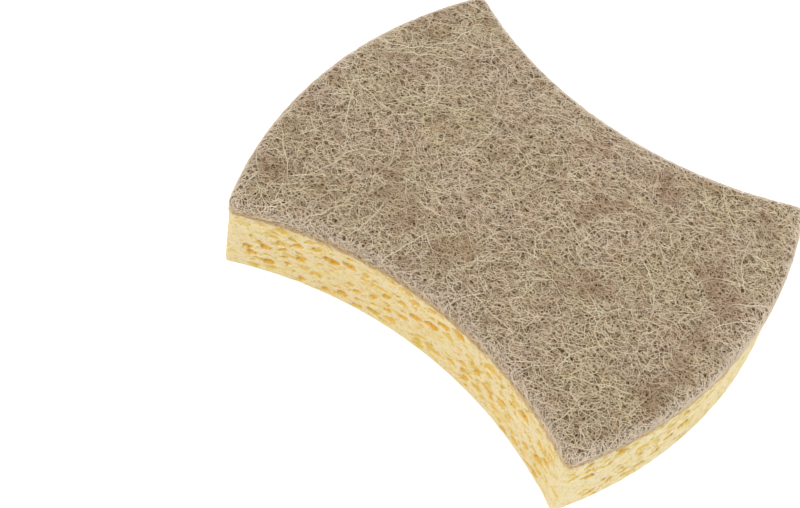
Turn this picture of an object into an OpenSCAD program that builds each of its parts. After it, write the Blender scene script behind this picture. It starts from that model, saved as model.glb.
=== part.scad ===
// Waisted scrubbing sponge: a block of cellulose foam with a scouring pad of needled plant fibre
// bonded on top. Both layers are stamped by one die, so they share one outline.
// Millimetres, +Z up, +X along the sponge, origin at the middle of the foam's underside.

/* [Outline] */
// Length over the bowed ends
sponge_l = 110; // [90:1:140]
// Width over the corners, before they are rounded
sponge_w = 87; // [75:1:100]
// How far each end bows out beyond its corners
end_bow = 10.5; // [6:0.5:16]
// How far each long side curves in at the waist
waist_depth = 11.5; // [6:0.5:16]
// Radius of the four upright corners
corner_r = 2; // [2:0.5:6]

/* [Foam block] */
// Thickness of the foam
foam_t = 16.5; // [12:0.5:30]

/* [Pores] */
// Distance between pores along a wall
wall_pitch = 6; // [4.5:0.1:9]
// Distance between the rows of pores up a wall
row_pitch = 3.5; // [3:0.1:6]
// Width of the largest pore in a wall
wall_pore_w = 4.8; // [3:0.1:6]
// Height of the largest pore in a wall
wall_pore_h = 2.2; // [1.2:0.1:2.6]
// Distance between pores across the underside
floor_pitch = 7.5; // [6:0.1:12]
// Width of the largest pore in the underside
floor_pore_w = 4.4; // [3:0.1:6]
// Radius of the solid middle of the underside
solid_r = 5; // [3:0.5:12]

/* [Scouring pad] */
// Thickness of the pad
pad_t = 3.5; // [3:0.5:9]
// Radius that the fibres roll over at the pad's upper rim
pad_rim_r = 1.5; // [0.8:0.1:1.8]
// How far the pad is drawn in where it meets the foam
pad_tuck = 0.4; // [0.2:0.1:0.8]

/* [Hidden] */
$fn = 48;
over = 1; // how far a cutter runs past what it cuts
cross = 0.002; // how far a corner's circle crosses the arcs it joins, which leaves no sliver there

// The outline's end arcs and side arcs, which cross at its corners
corner_x = sponge_l / 2 - end_bow;
corner_y = sponge_w / 2;
end_r = (pow(corner_y, 2) + pow(end_bow, 2)) / (2 * end_bow);
end_c = [sponge_l / 2 - end_r, 0];
side_r = (pow(corner_x, 2) + pow(waist_depth, 2)) / (2 * waist_depth);
side_c = [0, corner_y - waist_depth + side_r];

// A corner's rounding lies inside the end's circle and outside the side's, and touches both
to_end = end_r - corner_r;
to_side = side_r + corner_r;
apart = norm(side_c - end_c);
along = (pow(to_end, 2) - pow(to_side, 2) + pow(apart, 2)) / (2 * apart);
aside = sqrt(pow(to_end, 2) - pow(along, 2));
link = (side_c - end_c) / apart;
corner_c = end_c + along * link + aside * [link.y, -link.x];
end_normal = (corner_c - end_c) / to_end;
side_normal = (side_c - corner_c) / to_side;

// Half of the angle that each arc spans between the roundings
end_half = asin(end_normal.y);
side_half = asin(-side_normal.x);

// Pores: the smallest is this share of the largest, and each strays this share of the pitch
pore_least = 0.35;
wall_stray = 0.3;
floor_stray = 0.45;
pore_tilt = 14;
wall_seed = 11;
floor_seed = 5;
glue_gap = 1; // solid foam left under the pad

// Steps along a long arc (an even number), round a corner and over the rolled rim
arc_steps = 20;
corner_steps = 5;
rim_steps = 5;

function polar(a) = [cos(a), sin(a)];
function arc(c, r, from, to, steps) =
    [for (i = [0 : steps - 1]) c + r * polar(from + (to - from) * i / steps)];

// The outline drawn in by inset, anticlockwise from the tip of the right end
function half_ring(inset) = concat(
    arc(end_c, end_r - inset, 0, end_half, arc_steps / 2),
    arc(corner_c, corner_r - inset, end_half, 90 + side_half, corner_steps),
    arc(side_c, side_r + inset, 270 + side_half, 270 - side_half, arc_steps),
    arc([-corner_c.x, corner_c.y], corner_r - inset, 90 - side_half, 180 - end_half, corner_steps),
    arc(-end_c, end_r - inset, 180 - end_half, 180, arc_steps / 2)
);
function ring(inset) = let (half = half_ring(inset)) concat(half, -half);

// True where p lies inside the outline by at least the margin
function inside(p, margin) =
    norm(p - end_c) < end_r - margin && norm(p + end_c) < end_r - margin
    && norm(p - side_c) > side_r + margin && norm(p + side_c) > side_r + margin;

// What the die takes off outside one corner's rounding
module corner_waste() {
    reach = 2 * corner_r + over;
    difference() {
        polygon([
            corner_c,
            corner_c + reach * end_normal,
            corner_c + reach * (end_normal + side_normal),
            corner_c + reach * side_normal
        ]);
        translate(corner_c)
            circle(corner_r + cross);
    }
}

// The outline that the die stamps
module outline() {
    difference() {
        intersection_for(s = [-1, 1])
            translate(s * end_c)
                circle(end_r);
        for (s = [-1, 1])
            translate(s * side_c)
                circle(side_r);
        for (mx = [0, 1], my = [0, 1])
            mirror([mx, 0])
                mirror([0, my])
                    corner_waste();
    }
}

// A bubble that was pressed flat: round in plan, with a sharp rim where its two domes meet
module lens(w, h) {
    dome_r = (pow(w, 2) + pow(h, 2)) / (4 * h);
    rotate_extrude()
        intersection() {
            intersection_for(s = [-1, 1])
                translate([0, s * (dome_r - h / 2)])
                    circle(dome_r);
            translate([0, -h])
                square([w, 2 * h]);
        }
}

// One upright wall's pores, in rows. The wall is an arc of radius r about c, from angle from to
// angle to. It faces away from c where facing is 1, and towards c where facing is -1.
module wall_pores(c, r, from, to, facing, seed) {
    rows = floor((foam_t - glue_gap - wall_pore_h) / row_pitch) + 1;
    first = (foam_t - glue_gap - (rows - 1) * row_pitch) / 2;
    count = floor((to - from) * PI / 180 * r / wall_pitch);
    step = (to - from) / count;
    for (row = [0 : rows - 1], i = [0 : count - 1]) {
        luck = rands(-1, 1, 5, seed + 97 * row + 13 * i);
        size = 1 - (1 - pore_least) * pow(luck[0], 2);
        a = from + step * (i + 0.5 + wall_stray * luck[1] + (row % 2 - 0.5) / 3);
        z = first + row * row_pitch + (row_pitch - wall_pore_h) * wall_stray * luck[2];
        deep = size * wall_pore_w / 6 * luck[3];
        translate([c.x, c.y, z])
            rotate(a)
                translate([r - facing * deep, 0, 0])
                    rotate([pore_tilt * luck[4], 0, 0])
                        lens(size * wall_pore_w, size * wall_pore_h);
    }
}

module floor_pores() {
    columns = floor(sponge_l / floor_pitch);
    lines = floor(sponge_w / floor_pitch);
    for (i = [0 : columns], j = [0 : lines]) {
        luck = rands(-1, 1, 4, floor_seed + 61 * i + 17 * j);
        w = floor_pore_w * (1 - (1 - pore_least) * pow(luck[0], 2));
        p = floor_pitch * [
            i + (j % 2 - columns) / 2 + floor_stray * luck[1],
            j - lines / 2 + floor_stray * luck[2]
        ];
        if (inside(p, w / 2 + over) && norm(p) > solid_r + w / 2)
            translate([p.x, p.y, w / 8 * luck[3]])
                sphere(w / 2);
    }
}

module foam_block() {
    color("khaki")
        difference() {
            linear_extrude(foam_t)
                outline();
            for (s = [0, 180])
                rotate(s) {
                    wall_pores(end_c, end_r, -end_half, end_half, 1, wall_seed + s);
                    wall_pores(side_c, side_r, 270 - side_half, 270 + side_half, -1, wall_seed + s + 1);
                }
            floor_pores();
        }
}

// Faces of a cap over a ring of points: strips across it, from one end's tip to the other's
function cap(around) = concat(
    [[0, 1, around - 1], [around / 2 - 1, around / 2, around / 2 + 1]],
    [for (i = [1 : around / 2 - 2]) [i, i + 1, around - i - 1, around - i]]
);

// The pad is drawn in at the glue line, upright above it, and rolled over at the top
module scouring_pad() {
    rims = concat(
        [[pad_tuck, 0], [0, pad_tuck]],
        [for (i = [0 : rim_steps])
            let (turn = polar(90 * i / rim_steps))
                [pad_rim_r * (1 - turn.x), pad_t - pad_rim_r * (1 - turn.y)]]
    );
    rings = [for (rim = rims) [for (p = ring(rim[0])) [p.x, p.y, foam_t + rim[1]]]];
    around = len(rings[0]);
    top = len(rims) - 1;
    color("tan")
        polyhedron(
            [for (ring = rings) each ring],
            concat(
                cap(around),
                [for (k = [0 : top - 1], i = [0 : around - 1])
                    let (next = (i + 1) % around)
                        [k * around + i, (k + 1) * around + i,
                         (k + 1) * around + next, k * around + next]],
                [for (face = cap(around)) [for (i = [len(face) - 1 : -1 : 0]) top * around + face[i]]]
            )
        );
}

foam_block();
scouring_pad();
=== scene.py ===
import bpy
import numpy as np
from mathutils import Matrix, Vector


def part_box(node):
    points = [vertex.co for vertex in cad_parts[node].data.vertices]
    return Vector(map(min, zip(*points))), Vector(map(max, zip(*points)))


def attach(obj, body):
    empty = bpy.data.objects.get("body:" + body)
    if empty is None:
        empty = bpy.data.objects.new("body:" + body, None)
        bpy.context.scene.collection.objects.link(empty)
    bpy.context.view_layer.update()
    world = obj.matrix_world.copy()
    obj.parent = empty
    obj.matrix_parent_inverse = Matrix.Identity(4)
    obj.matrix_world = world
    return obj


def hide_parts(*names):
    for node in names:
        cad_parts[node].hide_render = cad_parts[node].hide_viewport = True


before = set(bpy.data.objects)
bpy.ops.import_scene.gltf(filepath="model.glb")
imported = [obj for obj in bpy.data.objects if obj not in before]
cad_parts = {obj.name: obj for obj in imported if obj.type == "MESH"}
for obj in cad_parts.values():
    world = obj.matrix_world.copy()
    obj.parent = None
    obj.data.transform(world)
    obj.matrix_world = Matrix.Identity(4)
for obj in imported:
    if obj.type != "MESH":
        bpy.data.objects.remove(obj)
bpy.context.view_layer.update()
scene = bpy.context.scene
scene.view_settings.view_transform = "Standard"

# Foam block
# Cellulose foam, cast full of bubbles, pressed so that they lie flat, and cut by a waisted die. The
# die opens the bubbles along the walls as slits, and the slab's own face shows them as rounder pits.
# The corners are crisper at the foot than at the glue line. Sizes are in millimetres.
MM = 0.001
foam_low, foam_high = np.array(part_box("foam_block")) / MM
foam_t = foam_high[2] - foam_low[2]
half_length = foam_high[0]
half_width = 43.5
end_bow = 10.5
waist_depth = 11.5
corner_r = 2.0
foot_corner_r = 0.9
edge_r = 0.25

# Points along an end and along a side, and rows up the wall and round its foot
end_columns = 290
side_columns = 300
wall_rows = 49
foot_rows = 3

corner_x = half_length - end_bow
end_r = (half_width ** 2 + end_bow ** 2) / (2 * end_bow)
end_c = np.array([half_length - end_r, 0.0])
side_r = (corner_x ** 2 + waist_depth ** 2) / (2 * waist_depth)
side_c = np.array([0.0, half_width - waist_depth + side_r])
quarter = np.pi / 2
mirror_x = np.array([-1.0, 1.0])


def rounding(radius):
    """Where a corner's circle touches the end's circle from inside and the side's from outside: the
    crossing of two circles about their centres, with radii end_r less and side_r plus its radius.
    Its centre, and half of the angle that the end's arc and the side's arc span up to it."""
    to_end, to_side = end_r - radius, side_r + radius
    apart = np.linalg.norm(side_c - end_c)
    along = (to_end ** 2 - to_side ** 2 + apart ** 2) / (2 * apart)
    aside = np.sqrt(to_end ** 2 - along ** 2)
    link = (side_c - end_c) / apart
    centre = end_c + along * link + aside * np.array([link[1], -link[0]])
    return centre, np.arcsin(centre[1] / to_end), np.arcsin(centre[0] / to_side)


def follow(arcs, count):
    """Points and outward normals at count even steps of arc length along a chain of arcs,
    without the chain's last point. A point is centre + radius * (cos, sin) of its angle."""
    centre, radius, begin, end, facing = (np.array(part, float) for part in zip(*arcs))
    length = np.abs(end - begin) * radius
    reach = np.cumsum(length)
    walked = np.arange(count) / count * reach[-1]
    arc = np.searchsorted(reach, walked, side="right")
    share = (walked - reach[arc] + length[arc]) / length[arc]
    angle = begin[arc] + share * (end[arc] - begin[arc])
    direction = np.stack([np.cos(angle), np.sin(angle)], axis=1)
    return centre[arc] + radius[arc, None] * direction, facing[arc, None] * direction, reach[-1]


def die_ring(radius, across, down):
    """The whole outline with its corners rounded by a radius, anticlockwise: an end and a side, and
    the same turned half round. Each arc is a centre, a radius, the angles from and to, and 1 where
    it bows out or -1 where it is hollow. Its points, its outward normals and its length."""
    centre, end_turn, side_turn = rounding(radius)
    middle = (end_turn + quarter + side_turn) / 2
    right_end = [
        (centre * [1, -1], radius, -middle, -end_turn, 1),
        (end_c, end_r, -end_turn, end_turn, 1),
        (centre, radius, end_turn, middle, 1),
    ]
    far_side = [
        (centre, radius, middle, quarter + side_turn, 1),
        (side_c, side_r, 3 * quarter + side_turn, 3 * quarter - side_turn, -1),
        (centre * mirror_x, radius, quarter - side_turn, 2 * quarter - middle, 1),
    ]
    ends, end_normals, end_length = follow(right_end, across)
    sides, side_normals, side_length = follow(far_side, down)
    half = np.concatenate([ends, sides])
    normals = np.concatenate([end_normals, side_normals])
    length = 2 * (end_length + side_length)
    return np.concatenate([half, -half]), np.concatenate([normals, -normals]), length


def eased(share):
    """A share from 0 to 1 with a level start and end: 3 s^2 - 2 s^3."""
    share = np.clip(share, 0, 1)
    return share * share * (3 - 2 * share)


# Cells along each side of a lattice of random values, after which it repeats
lattice_size = 61


def ripples(u, v, cell_u, cell_v, seed, around=lattice_size):
    """Value noise from -1 to 1: random heights on a lattice of cells, eased from one to the next.
    The lattice repeats after that many cells along u."""
    lattice = np.random.default_rng(seed).uniform(-1, 1, (around, lattice_size))
    i, j = np.floor(u / cell_u).astype(int), np.floor(v / cell_v).astype(int)
    s, t = eased(u / cell_u - i), eased(v / cell_v - j)
    i0, i1 = i % around, (i + 1) % around
    j0, j1 = j % lattice_size, (j + 1) % lattice_size
    low = lattice[i0, j0] * (1 - s) + lattice[i1, j0] * s
    high = lattice[i0, j1] * (1 - s) + lattice[i1, j1] * s
    return low * (1 - t) + high * t


def patch(ring, across, down, step):
    """A grid over a closed ring's four sides, of across, down, across and down points, taking every
    step-th of them: a Coons patch, the sum of the two ruled surfaces less the bilinear one."""
    right = ring[: across + 1 : step]
    far = ring[across : across + down + 1 : step]
    left = ring[across + down : 2 * across + down + 1 : step][::-1]
    near = np.concatenate([ring[2 * across + down :], ring[:1]])[::step][::-1]
    v = np.linspace(0, 1, len(right))[:, None, None]
    u = np.linspace(0, 1, len(far))[None, :, None]
    ruled = (1 - u) * right[:, None] + u * left[:, None] + (1 - v) * near[None] + v * far[None]
    low, high = (1 - u) * near[0] + u * near[-1], (1 - u) * far[0] + u * far[-1]
    return ruled - ((1 - v) * low + v * high)


def patch_index(across, down, step, ring_start, inner_start):
    """The vertex numbers of such a grid: the ring's own round its border, new ones inside."""
    count = 2 * (across + down)
    rows, columns = across // step + 1, down // step + 1
    inner = np.arange((rows - 2) * (columns - 2)).reshape(rows - 2, columns - 2)
    index = np.zeros((rows, columns), int)
    index[1:-1, 1:-1] = inner_start + inner
    index[:, 0] = ring_start + step * np.arange(rows)
    index[-1, :] = ring_start + across + step * np.arange(columns)
    index[:, -1] = ring_start + across + down + step * np.arange(rows)[::-1]
    index[0, :] = ring_start + (2 * across + down + step * np.arange(columns)[::-1]) % count
    return index


def grid_quads(index):
    """One row of four vertex numbers for each cell of a grid of them, anticlockwise from above."""
    cells = [index[:-1, :-1], index[1:, :-1], index[1:, 1:], index[:-1, 1:]]
    return np.stack(cells, axis=-1).reshape(-1, 4)


def wall_quads(rows, columns):
    """The faces of rows of points, lowest first, each row closing on itself."""
    index = np.arange(rows * columns).reshape(rows, columns)
    following = np.roll(index, -1, axis=1)
    cells = [index[:-1], following[:-1], following[1:], index[1:]]
    return np.stack(cells, axis=-1).reshape(-1, 4)


def surface(name, points, *face_sets):
    """An object from points in millimetres and arrays of faces, each with one row a face."""
    mesh = bpy.data.meshes.new(name)
    corners = np.concatenate([faces.ravel() for faces in face_sets]).astype(np.int32)
    sizes = np.concatenate([np.full(len(faces), faces.shape[1]) for faces in face_sets])
    starts = np.concatenate([[0], np.cumsum(sizes)[:-1]]).astype(np.int32)
    mesh.vertices.add(len(points))
    mesh.vertices.foreach_set("co", (points * MM).astype(np.float32).ravel())
    mesh.loops.add(len(corners))
    mesh.loops.foreach_set("vertex_index", corners)
    mesh.polygons.add(len(sizes))
    mesh.polygons.foreach_set("loop_start", starts)
    mesh.polygons.foreach_set("use_smooth", np.ones(len(sizes), bool))
    mesh.update(calc_edges=True)
    mesh.validate()
    made = bpy.data.objects.new(name, mesh)
    scene.collection.objects.link(made)
    return made


def mark(piece, name, values):
    """Keeps one number for each vertex as an attribute that a material can read."""
    layer = piece.data.attributes.new(name, "FLOAT", "POINT")
    layer.data.foreach_set("value", np.asarray(values, np.float32))


# Whole multiples of this number's inverse powers, less their whole parts, fill a square evenly
plastic = 1.3247179572


def evenly(number, luck):
    """So many points of the unit square, none of them near another, from a start set by luck."""
    powers = np.array([plastic, plastic ** 2])
    return (np.arange(number)[:, None] / powers + luck.uniform(0, 1, 2)) % 1


def bubbles(u, v, around, kinds, seed, edges):
    """How deep the opened bubbles go at each point, and how far they widen inside, along u and v.
    A bubble is an almond: its edge is where (|s|/a)^2 + (|t|/b)^roundness = 1, with s along its tilt
    and t across it, wavering a little. It is steep as far as its bank and then falls slowly. Where
    bubbles meet, the deeper one counts. A kind holds the number of its bubbles, the ranges of a, of
    b / a and of depth / a, the tilt either way, and the roundness."""
    waver, lobes, phase_step = 0.12, 3, 7
    bank, dome = 0.3, 0.2
    widen_u, widen_v = 0.3, 0.4
    luck = np.random.default_rng(seed)
    depth, spread_u, spread_v = np.zeros_like(u), np.zeros_like(u), np.zeros_like(u)
    for number, wide, tall, deep, tilt, roundness in kinds:
        a = luck.uniform(*wide, number)
        b = a * luck.uniform(*tall, number)
        centre_u, centre_v = (edges[0] + (edges[1] - edges[0]) * evenly(number, luck)).T
        turn = luck.uniform(-tilt, tilt, number)
        sink = a * luck.uniform(*deep, number)
        for k in range(number):
            du = u - centre_u[k]
            if around:
                du = (du + around / 2) % around - around / 2
            dv = v - centre_v[k]
            near = (np.abs(du) < a[k]) & (np.abs(dv) < a[k])
            if not near.any():
                continue
            x, y = du[near], dv[near]
            s = x * np.cos(turn[k]) + y * np.sin(turn[k])
            t = y * np.cos(turn[k]) - x * np.sin(turn[k])
            wobble = waver * np.sin(lobes * np.arctan2(t / b[k], s / a[k]) + phase_step * k)
            inside = 1 + wobble - (np.abs(s) / a[k]) ** 2 - (np.abs(t) / b[k]) ** roundness
            share = eased(inside / bank)
            here = sink[k] * share * (1 - dome + dome * np.clip(inside, 0, 1))
            deeper = here > depth[near]
            place = np.flatnonzero(near)[deeper]
            depth.flat[place] = here[deeper]
            spread_u.flat[place] = widen_u * (x * share)[deeper]
            spread_v.flat[place] = widen_v * (y * share)[deeper]
    return depth, spread_u, spread_v


def packed(u, v, cell_u, cell_v, seed, around=lattice_size):
    """Bubbles pressed against each other: one scattered point in each cell of a lattice, and for
    each place how much nearer its nearest point is than the next, in cells, and that point's luck."""
    margin, beyond = 0.08, 9.0
    luck = np.random.default_rng(seed)
    scatter = luck.uniform(margin, 1 - margin, (around, lattice_size, 2))
    kind = luck.uniform(0, 1, (around, lattice_size))
    x, y = u / cell_u, v / cell_v
    i, j = np.floor(x).astype(int), np.floor(y).astype(int)
    nearest, second = np.full(u.shape, beyond), np.full(u.shape, beyond)
    own = np.zeros(u.shape)
    for di in (-1, 0, 1):
        for dj in (-1, 0, 1):
            a, b = (i + di) % around, (j + dj) % lattice_size
            far = np.hypot(x - i - di - scatter[a, b, 0], y - j - dj - scatter[a, b, 1])
            closer = far < nearest
            second = np.where(closer, nearest, np.minimum(second, far))
            own = np.where(closer, kind[a, b], own)
            nearest = np.where(closer, far, nearest)
    return second - nearest, own


corner_c, end_half, side_half = rounding(corner_r)
ring, ring_normal, perimeter = die_ring(corner_r, end_columns, side_columns)
foot_ring, foot_normal, _ = die_ring(foot_corner_r, end_columns, side_columns)
columns = len(ring)
foot_turn = np.linspace(0, quarter, foot_rows + 1)[:-1]
foot_z = edge_r * (1 - np.cos(foot_turn))
profile_z = np.concatenate([foot_z, np.linspace(edge_r, foam_t, wall_rows)])
profile_inset = np.concatenate([edge_r * (1 - np.sin(foot_turn)), np.zeros(wall_rows)])
rows = len(profile_z)
round_s = np.broadcast_to(np.arange(columns) / columns * perimeter, (rows, columns))
up = np.broadcast_to(profile_z[:, None], (rows, columns))

# The bubbles that the die opens, from a few large ones to many small ones, clear of both edges
wall_kinds = [
    (80, (1.1, 2.1), (0.3, 0.46), (0.55, 0.85), 0.3, 1.2),
    (110, (0.7, 1.3), (0.45, 0.7), (0.7, 1.0), 0.5, 1.5),
    (460, (0.45, 0.85), (0.4, 0.7), (0.7, 1.1), 0.35, 1.4),
    (800, (0.3, 0.5), (0.5, 0.9), (0.7, 1.0), 0.4, 1.4),
]
wall_seed = 21
foot_margin = 0.5
glue_margin = 1.0
wall_edges = np.array([[0, foot_margin], [perimeter, foam_t - glue_margin]])
wall_depth, slide_s, slide_z = bubbles(round_s, up, perimeter, wall_kinds, wall_seed, wall_edges)

# Low folds of the wall: cells round the sponge, their height, the height of the folds, and a seed
folds = 0.0
for around, tall, height, seed in ((30, 6.0, 0.1, 1), (300, 0.6, 0.05, 3), (560, 0.4, 0.04, 4)):
    folds = folds + height * ripples(round_s, up, perimeter / around, tall, seed, around)

# The fine cells between the bubbles, which the die cuts to uneven depths. First the sway of their
# rows: how far, cells round the sponge, their height and a seed. Then two sizes of cells: how many
# round the sponge, their height, the least and the most depth, and a seed.
sway = []
for swing, around, tall, seed in ((0.5, 160, 1.2, 8), (0.3, 120, 2.0, 9)):
    sway.append(swing * ripples(round_s, up, perimeter / around, tall, seed, around))
cell_rim = 0.5
cut_open = 0.0
for around, tall, least, most, seed in ((104, 1.5, 0.03, 0.45, 11), (230, 0.7, 0.02, 0.16, 12)):
    ridge, own = packed(round_s + sway[0], up + sway[1], perimeter / around, tall, seed, around)
    cut_open = cut_open + (least + (most - least) * own ** 3) * eased(ridge / cell_rim)

# The wall is whole at the glue line, and calmer over these reaches from the foot and the corners
glue_reach = 0.8
foot_reach, foot_calm = 1.2, 0.25
corner_reach, corner_calm = 2.5, 0.3
past_corner = np.abs(ring) - corner_c
from_corner = np.hypot(past_corner[:, 0], past_corner[:, 1]) - corner_r
below_glue = eased((foam_t - up) / glue_reach)
calm = foot_calm + (1 - foot_calm) * eased(up / foot_reach)
calm = calm * (corner_calm + (1 - corner_calm) * eased(from_corner / corner_reach))
sunk = 0.85
wall_sink = (np.maximum(sunk * wall_depth, cut_open) + folds) * below_glue * calm

# The corners sharpen downwards, and reach their foot's radius before the foot
sharpening = 1.3
footward = eased(sharpening * (1 - up / foam_t))[..., None]
wall_ring = ring + footward * (foot_ring - ring)
wall_normal = ring_normal + footward * (foot_normal - ring_normal)
wall_xy = wall_ring - (profile_inset[:, None, None] + wall_sink[..., None]) * wall_normal
tangent = np.stack([-ring_normal[:, 1], ring_normal[:, 0]], axis=1)
wall_xy = wall_xy + (slide_s * below_glue * calm)[..., None] * tangent[None]
slide_reach = 1.5
wall_z = up + slide_z * below_glue * calm * eased(up / slide_reach)
wall_points = np.concatenate([wall_xy, wall_z[..., None]], axis=2)

# The foam's own face, underneath, on a grid half as fine as the walls. Its bubbles lie at any tilt.
face_step = 2
face = patch(wall_xy[0], end_columns, side_columns, face_step)
face_x, face_y = face[..., 0], face[..., 1]
face_kinds = [
    (120, (1.1, 2.5), (0.55, 0.95), (0.35, 0.65), 1.6, 1.8),
    (420, (0.6, 1.3), (0.5, 0.95), (0.4, 0.7), 1.6, 1.8),
    (900, (0.4, 0.7), (0.6, 1.0), (0.4, 0.7), 1.6, 1.8),
]
face_seed = 22
face_edges = np.array([[-half_length, -half_width], [half_length, half_width]])
face_depth, slide_x, slide_y = bubbles(face_x, face_y, None, face_kinds, face_seed, face_edges)

# The face's pores and dimples fade out over its last cells, so that its border meets the walls
border_cells = 3
to_sides, to_ends = (np.minimum(np.arange(n), np.arange(n)[::-1]) for n in face.shape[:2])
inward = eased(np.minimum.outer(to_sides, to_ends) / border_cells)

# Two sizes of dimples: how wide, their mean depth and a seed. Then two sizes of fine cells: how
# wide, the least and the most depth, and a seed.
dimples = 0.0
for cell, depth, seed in ((9.0, 0.2, 5), (1.3, 0.1, 7)):
    dimples = dimples + depth * (1 + ripples(face_x, face_y, cell, cell, seed))
cell_squash = 0.85
face_cut = 0.0
for cell, least, most, seed in ((3.1, 0.08, 0.5, 13), (1.7, 0.05, 0.3, 14)):
    x, y = face_x + half_length, face_y + half_width
    ridge, own = packed(x, y, cell, cell * cell_squash, seed)
    face_cut = face_cut + (least + (most - least) * own ** 2) * eased(ridge / cell_rim)
face_sink = (np.maximum(sunk * face_depth, face_cut) + dimples) * inward
face_points = np.stack([face_x + slide_x * inward, face_y + slide_y * inward, face_sink], axis=2)

# The slivers close the wall's lowest row to the face's coarser border, and the lid closes the top
wall_count = rows * columns
face_index = patch_index(end_columns, side_columns, face_step, 0, wall_count)
even = face_step * np.arange(columns // face_step)
slivers = np.stack([(even + face_step) % columns, even + 1, even], axis=1)
lid = (wall_count - columns + np.arange(columns))[None]
foam = surface(
    "cellulose_foam",
    np.concatenate([wall_points.reshape(-1, 3), face_points[1:-1, 1:-1].reshape(-1, 3)]),
    wall_quads(rows, columns),
    grid_quads(face_index)[:, ::-1],
    slivers,
    lid,
)

# How deep each point lies in its pore, which sets its colour as painted glow and shade of light
# scattered through the foam; the face's pores get less of it and look paler
deepest = 2.2
face_pore_share = 0.8
face_cell_share = 0.4
wall_open = np.maximum(wall_depth, cut_open) * below_glue * calm
face_open = np.maximum(face_pore_share * face_depth, face_cell_share * face_cut)
pore = np.concatenate([wall_open.ravel(), face_open[1:-1, 1:-1].ravel()]) / deepest
mark(foam, "pore", np.clip(pore, 0, 1))


def material(name):
    """A new material with its node tree and its Principled shader."""
    made = bpy.data.materials.new(name)
    made.use_nodes = True
    return made, made.node_tree, made.node_tree.nodes["Principled BSDF"]


def add(tree, kind, inputs=None, **settings):
    """A node with its settings, and its inputs by name or number: a value, or a node's output."""
    made = tree.nodes.new(kind)
    for key, value in settings.items():
        setattr(made, key, value)
    for key, value in (inputs or {}).items():
        if isinstance(value, bpy.types.NodeSocket):
            tree.links.new(value, made.inputs[key])
        else:
            made.inputs[key].default_value = value
    return made


def combine(tree, operation, first, second):
    """A value worked out from two others, by ADD, MULTIPLY, MAXIMUM and the like."""
    return add(tree, "ShaderNodeMath", {0: first, 1: second}, operation=operation).outputs[0]


def linear(colour):
    """A colour as seen on a screen, from 0 to 255, as the light that it stands for: its share of
    255, to the power of the screen's gamma."""
    gamma = 2.2
    return (*((np.array(colour) / 255) ** gamma), 1.0)


def ramp(tree, fac, stops):
    """A colour ramp through (place, colour) stops."""
    made = add(tree, "ShaderNodeValToRGB", {"Fac": fac})
    while len(made.color_ramp.elements) < len(stops):
        made.color_ramp.elements.new(0.5)
    for element, (place, colour) in zip(made.color_ramp.elements, stops):
        element.position = place
        element.color = linear(colour)
    return made.outputs["Color"]


def blend(tree, kind, fac, below, above):
    """Mixes two colours by a factor, in a way such as MIX or MULTIPLY."""
    inputs = {0: fac, 6: below, 7: above}
    return add(tree, "ShaderNodeMix", inputs, data_type="RGBA", blend_type=kind).outputs[2]


def speckle(tree, place, scale, detail=3.0, roughness=0.6):
    """Noise at a number of features to the metre."""
    inputs = {"Vector": place, "Scale": scale, "Detail": detail, "Roughness": roughness}
    return add(tree, "ShaderNodeTexNoise", inputs).outputs["Fac"]


def moved(tree, place, **how):
    """The place where a pattern is read, shifted by a Location or stretched by a Scale."""
    return add(tree, "ShaderNodeMapping", {"Vector": place, **how}).outputs["Vector"]


white = (255, 255, 255)
foam_cream = (248, 231, 188)
foam_yellow = (238, 206, 114)
foam_amber = (236, 190, 82)
foam_orange = (236, 166, 48)
mottle_pink = (255, 242, 228)
mottle_straw = (247, 236, 182)
pit_shade_brown = (214, 170, 84)

# Features to the metre, how much the pressing squashes them, and how strongly they tint
mottle_scale = 420
pit_scale = 950.0
grain_scale = 1500
squashed = (1, 1, 2.0)
mottle_share = 0.85
pit_shade_share = 0.75

foam_finish, tree, shader = material("cellulose foam")
flat = moved(tree, add(tree, "ShaderNodeTexCoord").outputs["Object"], Scale=squashed)
# The deeper in a pore, the more yellow, amber and orange: painted glow and shade of light scattered
# through the foam
colour = ramp(tree, add(tree, "ShaderNodeAttribute", attribute_name="pore").outputs["Fac"], [
    (0.03, foam_cream),
    (0.15, foam_yellow),
    (0.45, foam_amber),
    (1.0, foam_orange),
])
mottle = ramp(tree, speckle(tree, flat, mottle_scale), [
    (0.36, mottle_pink),
    (0.48, white),
    (0.62, mottle_straw),
])
colour = blend(tree, "MULTIPLY", mottle_share, colour, mottle)
pit_inputs = {"Vector": flat, "Scale": pit_scale, "Randomness": 1.0}
pits = add(tree, "ShaderNodeTexVoronoi", pit_inputs).outputs["Distance"]
# The pits' bottoms are tinted brown: painted shade in the fine pits that the bump sinks
pit_shade_colour = ramp(tree, pits, [(0.1, pit_shade_brown), (0.28, white)])
colour = blend(tree, "MULTIPLY", pit_shade_share, colour, pit_shade_colour)
tree.links.new(colour, shader.inputs["Base Color"])
lift = combine(tree, "ADD", pits, speckle(tree, flat, grain_scale, 4.0))
bump = add(tree, "ShaderNodeBump", {"Strength": 0.55, "Distance": 0.00035, "Height": lift})
tree.links.new(bump.outputs["Normal"], shader.inputs["Normal"])
shader.inputs["Roughness"].default_value = 0.55
shader.inputs["Specular IOR Level"].default_value = 0.35
shader.inputs["Subsurface Weight"].default_value = 0.35
shader.inputs["Subsurface Radius"].default_value = (1.0, 0.62, 0.22)
shader.inputs["Subsurface Scale"].default_value = 0.0012
foam.data.materials.append(foam_finish)
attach(foam, "root")
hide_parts("foam_block")

# Body of the scouring pad
# Plant fibre needled into a felt and bonded to the foam. This is the felt's matted inside, a slab
# that shows only between the fibres that cover it. The die presses its rim down into a roll.
pad_low, pad_high = np.array(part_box("scouring_pad")) / MM
pad_top = pad_high[2]
pad_t = pad_top - pad_low[2]
rim_r = 1.5
pad_tuck = 0.4
fibre_cover = 0.22
pad_across = 160
pad_down = 166
roll_rows = 6

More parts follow.
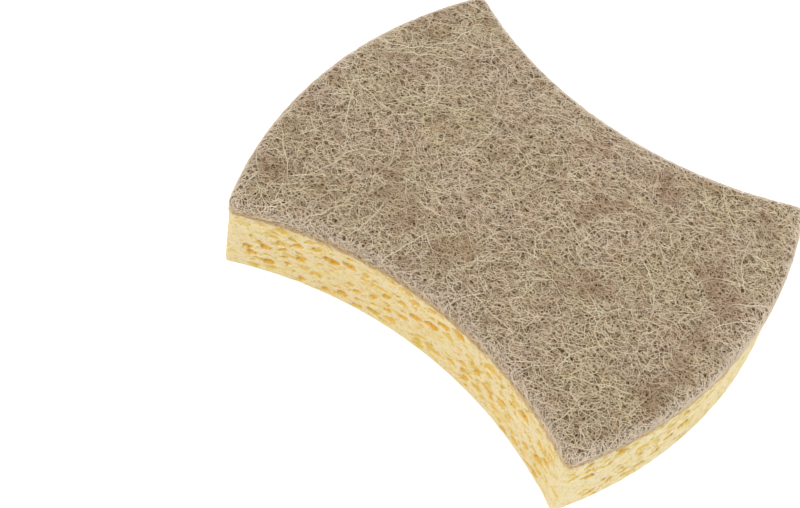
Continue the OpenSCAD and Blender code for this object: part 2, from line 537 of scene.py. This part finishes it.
# Rows of the felt from the glue line up: tucked in, upright, and round the roll to the level top
core_ring, core_normal, _ = die_ring(corner_r, pad_across, pad_down)
roll = np.linspace(0, quarter, roll_rows)
core_inset = fibre_cover + np.concatenate([[pad_tuck, 0.0], rim_r * (1 - np.cos(roll))])
roll_z = pad_top - fibre_cover - rim_r * (1 - np.sin(roll))
core_z = np.concatenate([[pad_low[2], pad_low[2] + pad_tuck], roll_z])
core_xy = core_ring[None] - core_inset[:, None, None] * core_normal[None]
core_heights = np.broadcast_to(core_z[:, None, None], (*core_xy.shape[:2], 1))
core_wall = np.concatenate([core_xy, core_heights], axis=2)
core_top = patch(core_xy[-1], pad_across, pad_down, 1)

# Two sizes of clumps on the felt's top: how wide, how high and a seed
clumps = 0.0
for cell, height, seed in ((7.0, 0.12, 31), (2.0, 0.1, 32)):
    clumps = clumps + height * ripples(core_top[..., 0], core_top[..., 1], cell, cell, seed)
core_columns = len(core_ring)
core_count = len(core_z) * core_columns
core_index = patch_index(pad_across, pad_down, 1, core_count - core_columns, core_count)
core_face = np.concatenate([core_top, (core_z[-1] + clumps)[..., None]], axis=2)
core = surface(
    "felt_core",
    np.concatenate([core_wall.reshape(-1, 3), core_face[1:-1, 1:-1].reshape(-1, 3)]),
    wall_quads(len(core_z), core_columns),
    grid_quads(core_index),
    np.arange(core_columns)[::-1][None],
)


def graded(tree, value, begin, end, low=0.0, high=1.0):
    """Carries a value from the range begin to end over to low to high, and holds it at both."""
    inputs = {"Value": value, "From Min": begin, "From Max": end, "To Min": low, "To Max": high}
    return add(tree, "ShaderNodeMapRange", inputs).outputs["Result"]


felt_hollow_shade = (96, 71, 42)
felt_deep = (186, 160, 125)
felt_rim_sheen = (196, 177, 150)
felt_glue_line_light = (214, 190, 134)
felt_rim_sheen_share = 0.6

# In metres: the glue's height and how far up the painted light at the glue line fades, then how far
# below the top the rim's painted sheen begins, and over what height it grows to its share
glue_line = pad_low[2] * MM
glue_light_reach = 0.0014
rim_sheen_drop = 0.0003
rim_sheen_line = pad_top * MM - rim_sheen_drop
rim_sheen_fade = 0.0006

core_finish, tree, shader = material("matted felt")
place = add(tree, "ShaderNodeTexCoord").outputs["Object"]

# Threads run where noise passes its middle value, in four noises laid over each other: the features
# of each to the metre, and how far it is shifted
middle_value = 0.5
thread_w = 0.045
threads = None
for scale, shift in ((420, 0.0), (560, 0.3), (760, 0.6), (980, 0.9)):
    noise = speckle(tree, moved(tree, place, Location=(shift, shift, shift)), scale, 1.0)
    wave = combine(tree, "SUBTRACT", noise, middle_value)
    wave = add(tree, "ShaderNodeMath", {0: wave}, operation="ABSOLUTE").outputs[0]
    line = graded(tree, wave, 0.0, thread_w, 1.0, 0.0)
    threads = line if threads is None else combine(tree, "MAXIMUM", threads, line)
# Between the threads the felt is dark brown: painted shade of the deep gaps among the fibres
matted = ramp(tree, threads, [(0.0, felt_hollow_shade), (0.7, felt_deep)])
height = add(tree, "ShaderNodeSeparateXYZ", {0: place}).outputs["Z"]
rim_sheen_mask = graded(tree, height, rim_sheen_line, rim_sheen_line - rim_sheen_fade, 0.0, felt_rim_sheen_share)
# Below the top, the rolled rim is mixed towards a pale grey-tan: painted sheen and light on a side
# that faces away from the lamps
matted = blend(tree, "MIX", rim_sheen_mask, matted, linear(felt_rim_sheen))
# Near the glue line the felt is mixed towards a light yellow-tan: painted light that fills the shade
# of the tucked groove and carries the foam's yellow bounce
painted_glue_light = graded(tree, height, glue_line, glue_line + glue_light_reach, 1.0, 0.0)
matted = blend(tree, "MIX", painted_glue_light, matted, linear(felt_glue_line_light))
tree.links.new(matted, shader.inputs["Base Color"])
bump = add(tree, "ShaderNodeBump", {"Strength": 0.8, "Distance": 0.0003, "Height": threads})
tree.links.new(bump.outputs["Normal"], shader.inputs["Normal"])
shader.inputs["Roughness"].default_value = 0.9
shader.inputs["Specular IOR Level"].default_value = 0.15
core.data.materials.append(core_finish)
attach(core, "root")
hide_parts("scouring_pad")

# Fibres of the scouring pad
# Fine curling fibres, needled through each other, that lie over the felt's face and down its rolled
# rim. The upper ones are painted lighter, as light that they catch, and the deeper ones darker, as
# painted shade; a few long ones run across in wide arcs, and some ends hang over the glue line before
# they tuck in.

# The least length that a vector is divided by
tiny = 1e-9


def unit(vectors):
    """The vectors at a length of one."""
    return vectors / np.maximum(np.linalg.norm(vectors, axis=-1, keepdims=True), tiny)


def from_rim(plan):
    """How far each point of the plan lies outside the level middle of the pad's face, and the
    direction outwards there: the largest of the distances to the end's and the side's circles, or
    the distance to the corner's where a point lies in the corner's wedge. All are drawn in by the
    roll's radius."""
    sign = np.where(plan < 0, -1.0, 1.0)
    p = plan * sign
    from_end, from_side, from_corner = p - end_c, side_c - p, p - corner_c
    out_end = np.linalg.norm(from_end, axis=-1) - end_r + rim_r
    out_side = side_r + rim_r - np.linalg.norm(from_side, axis=-1)
    out_corner = np.linalg.norm(from_corner, axis=-1) - corner_r + rim_r
    turn = np.arctan2(from_corner[..., 1], from_corner[..., 0])
    wedge = (turn > end_half) & (turn < quarter + side_half)
    by_end = out_end > out_side
    outward = np.where(by_end[..., None], unit(from_end), unit(from_side))
    outward = np.where(wedge[..., None], unit(from_corner), outward)
    out = np.where(wedge, out_corner, np.maximum(out_end, out_side))
    return out, outward * sign


def lay(plan, out, outward, height, drop):
    """Lays points of the plan on the pad, that high above its skin: level in the middle, then round
    the roll by arc length, then down its side, but no further than drop below the roll. What would
    run on from there tucks in instead. The points, and the skin's normals there."""
    tuck_slope, tuck_limit = 0.8, 0.5
    angle = np.clip(out / rim_r, 0, quarter)
    past_roll = out - rim_r * quarter
    down = np.clip(past_roll, 0, drop)
    tucked = np.clip(past_roll - drop, 0, tuck_limit)
    radius = rim_r + height - tuck_slope * tucked
    foot = plan - np.maximum(out, 0)[..., None] * outward
    xy = foot + np.where(out > 0, radius * np.sin(angle), 0)[..., None] * outward
    z = np.where(out > 0, pad_top - rim_r + radius * np.cos(angle) - down, pad_top + height)
    level, upright = outward * np.sin(angle)[..., None], np.cos(angle)[..., None]
    skin_normal = np.concatenate([level, upright], axis=-1)
    return np.concatenate([xy, z[..., None]], axis=-1), skin_normal


def curls(number, length, steps, curl, luck):
    """Paths in the plan, one row each: the heading turns by a curvature that swings along the
    fibre in waves, and the path is the running sum of its steps."""
    wave_lengths = (3.5, 9.0)
    walked = np.linspace(-0.5, 0.5, steps) * length
    steady, swing = luck.normal(0, curl, (2, number, 1))
    wave = luck.uniform(*wave_lengths, (number, 1))
    phase = luck.uniform(0, 2 * np.pi, (number, 1))
    heading = steady * walked + swing * wave / 2 * np.sin(2 * np.pi * walked / wave + phase)
    heading = heading + luck.uniform(0, 2 * np.pi, (number, 1))
    step = length / (steps - 1)
    path = np.cumsum(step * np.stack([np.cos(heading), np.sin(heading)], axis=-1), axis=1)
    return path - path[:, steps // 2 : steps // 2 + 1]


def tubes(centre, skin_normal, radius):
    """Three-sided tubes along rows of points, closed at both ends. Each point has a ring of three:
    centre + radius * (cos * side + sin * top), a third of a turn apart."""
    number, steps = centre.shape[:2]
    along = unit(np.gradient(centre, axis=1))
    side = unit(np.cross(along, skin_normal))
    top = np.cross(side, along)
    turn = quarter + np.arange(3) * 4 * quarter / 3
    around = np.cos(turn)[:, None] * side[..., None, :] + np.sin(turn)[:, None] * top[..., None, :]
    points = centre[..., None, :] + radius[..., None, None] * around
    index = np.arange(number * steps * 3).reshape(number, steps, 3)
    following = np.roll(index, -1, axis=2)
    cells = [index[:, :-1], index[:, 1:], following[:, 1:], following[:, :-1]]
    caps = np.concatenate([index[:, 0], index[:, -1, ::-1]])
    return points.reshape(-1, 3), np.stack(cells, axis=-1).reshape(-1, 4), caps


def fibres(name, number, length, steps, curl, thickness, level, spread, tone_and_shade, seed, finish):
    """One layer of fibres, scattered over the face and the rim, as one piece. A layer spreads
    upwards from its level above the skin, and each fibre rises and sinks in it by a sine. The die
    presses the layer flatter on the rim. Where a fibre would cross the glue line it hangs a little
    past it or stops a little short of it, by a luck of its own."""
    rise, rise_turns, rise_starts = 0.5, (4, 12), (0, 6)
    pressed, press_begin, press_reach = 0.6, 1.0, 2.0
    hang = (-0.4, 1.1)
    tip, taper_rate, girths = 0.35, 4, (0.75, 1.25)
    tone_spread, banding, bands = 0.2, 0.06, 9
    rim_begin, rim_reach = 1.6, 2.6
    spare = 3
    luck = np.random.default_rng(seed)
    reach = np.array([half_length, half_width]) + pad_t
    middle = reach * (2 * evenly(spare * number, luck) - 1)
    out, _ = from_rim(middle)
    middle = middle[out < rim_r * quarter + pad_t - rim_r][:number, None]
    number = len(middle)
    each = (number, 1)
    plan = middle + curls(number, length, steps, curl, luck)
    out, outward = from_rim(plan)
    walked = np.linspace(0, 1, steps)[None]
    lift = luck.uniform(0, 1, each)
    turns, start = luck.uniform(*rise_turns, each), luck.uniform(*rise_starts, each)
    lift = lift + rise * np.sin(walked * turns + start)
    height = (level + spread * lift) * (1 - pressed * eased((out + press_begin) / press_reach))
    drop = pad_t - rim_r + luck.uniform(*hang, each)
    centre, skin_normal = lay(plan, out, outward, height, drop)
    taper = np.minimum(1, tip + taper_rate * np.minimum(walked, 1 - walked))
    radius = thickness / 2 * luck.uniform(*girths, each) * taper
    made = surface(name, *tubes(centre, skin_normal, radius))
    shade = np.clip(luck.normal(tone_and_shade, tone_spread, each) + banding * np.sin(walked * bands), 0, 1)
    hue = np.broadcast_to(luck.uniform(0, 1, each), shade.shape)
    # How far each point lies on the rim, which sets its painted sheen
    on_rim = eased((out + rim_begin) / rim_reach)
    for key, values in (("tone_and_shade", shade), ("hue", hue), ("rim", on_rim)):
        mark(made, key, np.repeat(values.ravel(), 3))
    made.data.materials.append(finish)
    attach(made, "root")


fibre_tones = [
    (0.0, (164, 140, 110)),
    (0.35, (216, 193, 165)),
    (0.65, (251, 232, 207)),
    (1.0, (255, 246, 225)),
]
fibre_hues = [
    (0.0, (255, 252, 246)),
    (0.1, (255, 254, 251)),
    (0.9, (254, 254, 249)),
    (1.0, (255, 253, 250)),
]
brown_patches = [(0.36, (208, 186, 165)), (0.47, (251, 249, 246)), (0.62, (255, 255, 252))]
mauve_and_olive = [(0.4, (255, 251, 255)), (0.6, (252, 255, 240))]
fibre_foam_bounce = (244, 226, 184)
fibre_rim_sheen = (248, 230, 208)

# Features to the metre, how strongly they tint, and in metres how far up the painted bounce light
# from the foam fades above the glue line
patch_scale = 115
patch_share = 0.55
cast_scale = 60
cast_share = 0.5
cast_shift = (0.3, 0.1, 0.2)
fibre_rim_sheen_share = 0.75
fibre_bounce_reach = 0.0022

fibre_finish, tree, shader = material("plant fibre")
place = add(tree, "ShaderNodeTexCoord").outputs["Object"]
tone_and_shade, hue, rim = (
    add(tree, "ShaderNodeAttribute", attribute_name=key).outputs["Fac"]
    for key in ("tone_and_shade", "hue", "rim")
)
patches = ramp(tree, speckle(tree, place, patch_scale, 3.0), brown_patches)
aside = moved(tree, place, Location=cast_shift)
casts = ramp(tree, speckle(tree, aside, cast_scale, 2.0), mauve_and_olive)
colour = ramp(tree, tone_and_shade, fibre_tones)
colour = blend(tree, "MULTIPLY", 1.0, colour, ramp(tree, hue, fibre_hues))
colour = blend(tree, "MULTIPLY", patch_share, colour, patches)
colour = blend(tree, "MULTIPLY", cast_share, colour, casts)
# Fibres on the rim are mixed towards a pale colour: painted sheen and light on the rolled rim
rim_sheen = combine(tree, "MULTIPLY", rim, fibre_rim_sheen_share)
colour = blend(tree, "MIX", rim_sheen, colour, linear(fibre_rim_sheen))
height = add(tree, "ShaderNodeSeparateXYZ", {0: place}).outputs["Z"]
above_glue = graded(tree, height, glue_line, glue_line + fibre_bounce_reach)
# Just above the glue line the fibres are tinted yellow and a little darker: painted yellow light
# bounced from the foam, with a little painted shade
foam_bounce_tint = ramp(tree, above_glue, [(0.1, fibre_foam_bounce), (1.0, white)])
colour = blend(tree, "MULTIPLY", 1.0, colour, foam_bounce_tint)
tree.links.new(colour, shader.inputs["Base Color"])
shader.inputs["Roughness"].default_value = 0.7
shader.inputs["Specular IOR Level"].default_value = 0.25
shader.inputs["Sheen Weight"].default_value = 0.15

# From the deepest layer up: how many, their length, points, curl and thickness, the layer's level
# and spread, its tone, which varies at random from fibre to fibre and is darker for the deeper layers
# as painted shade and lighter for the upper ones as painted light, and its seed
for name, *layer in (
    ("felt_fibres_deep", 3800, 3.8, 8, 0.75, 0.19, -0.14, 0.1, 0.4, 41),
    ("felt_fibres_low", 4400, 3.8, 8, 0.7, 0.155, -0.04, 0.1, 0.5, 42),
    ("felt_fibres_mid", 4400, 3.8, 8, 0.65, 0.135, 0.02, 0.12, 0.62, 46),
    ("felt_fibres_high", 2900, 5.2, 9, 0.45, 0.135, 0.08, 0.12, 0.72, 43),
    ("felt_fibres_loose", 400, 9.0, 14, 0.17, 0.15, 0.14, 0.14, 0.8, 44),
    ("felt_fibres_long", 100, 15.0, 20, 0.09, 0.19, 0.22, 0.1, 0.95, 45),
):
    fibres(name, *layer, fibre_finish)

# Floor, lamps and camera
# A plain white sweep under an even sky. A warm soft lamp lights the pad from in front and a cool one
# lights the end, seen from above one corner.
floor_reach = 3000.0
floor_gap = 0.2
corners = np.array([[-1, -1], [1, -1], [1, 1], [-1, 1]]) * floor_reach
floor = surface("floor", np.c_[corners, np.full(4, -floor_gap)], np.arange(4)[None])
floor_finish, tree, shader = material("white sweep")
shader.inputs["Base Color"].default_value = (0.8, 0.8, 0.8, 1)
shader.inputs["Roughness"].default_value = 0.9


def background_rays(tree):
    """1 for a ray that shows the background: straight from the camera, by gloss or through glass."""
    rays = add(tree, "ShaderNodeLightPath").outputs
    either = combine(tree, "MAXIMUM", rays["Is Camera Ray"], rays["Is Glossy Ray"])
    return combine(tree, "MAXIMUM", either, rays["Is Transmission Ray"])


floor_glow = 0.55
glow = combine(tree, "MULTIPLY", background_rays(tree), floor_glow)
tree.links.new(glow, shader.inputs["Emission Strength"])
shader.inputs["Emission Color"].default_value = (1, 1, 1, 1)
floor.data.materials.append(floor_finish)

# The sky is white where it is seen, and gives this much light
sky_light = 0.55
world = bpy.data.worlds.new("even sky")
scene.world = world
world.use_nodes = True
tree = world.node_tree
sky = tree.nodes["Background"]
sky.inputs["Color"].default_value = (1, 1, 1, 1)
strength = graded(tree, background_rays(tree), 0.0, 1.0, sky_light, 1.0)
tree.links.new(strength, sky.inputs["Strength"])

# Each lamp's strength, colour and turn in degrees, and how wide both of them look from the sponge
lamp_width = 18
for name, energy, colour, turn in (
    ("front lamp", 1.24, (1.0, 0.96, 0.9), (42, 0, -15)),
    ("end lamp", 1.1, (0.88, 0.975, 1.07), (0, 60, 20)),
):
    lamp_data = bpy.data.lights.new(name, "SUN")
    lamp_data.energy = energy
    lamp_data.color = colour
    lamp_data.angle = np.radians(lamp_width)
    lamp = bpy.data.objects.new(name, lamp_data)
    lamp.rotation_euler = np.radians(turn)
    scene.collection.objects.link(lamp)

camera_data = bpy.data.cameras.new("camera")
camera_data.sensor_width = 36
camera_data.lens = 76.581
camera_data.clip_start = 0.01
camera = bpy.data.objects.new("camera", camera_data)
camera.location = np.array([100.188, -207.612, 297.674]) * MM
camera.rotation_euler = np.radians([36.730, -6.150, 39.823])
scene.collection.objects.link(camera)
scene.camera = camera
